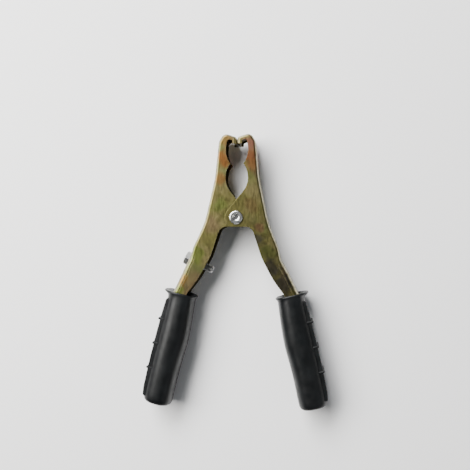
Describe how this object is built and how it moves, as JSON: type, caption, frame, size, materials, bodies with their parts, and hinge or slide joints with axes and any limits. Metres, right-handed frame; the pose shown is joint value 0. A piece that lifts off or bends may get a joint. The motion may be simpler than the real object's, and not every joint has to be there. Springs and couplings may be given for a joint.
{
  "type": "ground clamp",
  "caption": "Spring-loaded earth clamp: two pressed-steel channel jaws on a rivet, with moulded grips and a cable bolt.",
  "frame": {"origin": "on the pivot axis, on the flat rear face of the rivet that the clamp rests on", "axes": "+Z along the pivot axis towards the front, +Y from the grips to the gripping noses, +X from the left jaw to the right jaw"},
  "size_m": [0.1458, 0.2114, 0.0281],
  "materials": {
    "yellow_zinc": "iridescent yellow chromate over zinc, satin",
    "bright_zinc": "bright zinc, satin",
    "bolt_zinc": "clear zinc, slightly dull",
    "spring_steel": "oiled spring wire",
    "black_pvc": "semi-gloss moulded PVC"
  },
  "bodies": {
    "left_half": {"left_jaw": "yellow_zinc", "pivot_rivet": "bright_zinc", "spacer_sleeve": "bright_zinc", "torsion_spring": "spring_steel", "left_grip": "black_pvc", "cable_bolt": "bolt_zinc", "flat_washer": "bolt_zinc", "lock_washer": "bolt_zinc", "cable_nut": "bolt_zinc"},
    "right_half": {"right_jaw": "yellow_zinc", "right_grip": "black_pvc"}
  },
  "joints": [
    {"name": "jaw_pivot", "type": "hinge", "parent": "left_half", "child": "right_half", "pos_m": [0, 0, 0.014], "axis": [0, 0, -1], "range_deg": [0, 36], "stiffness_Nm_per_rad": 0.6, "springref_deg": -34.38, "deforming": ["torsion_spring"]}
  ]
}
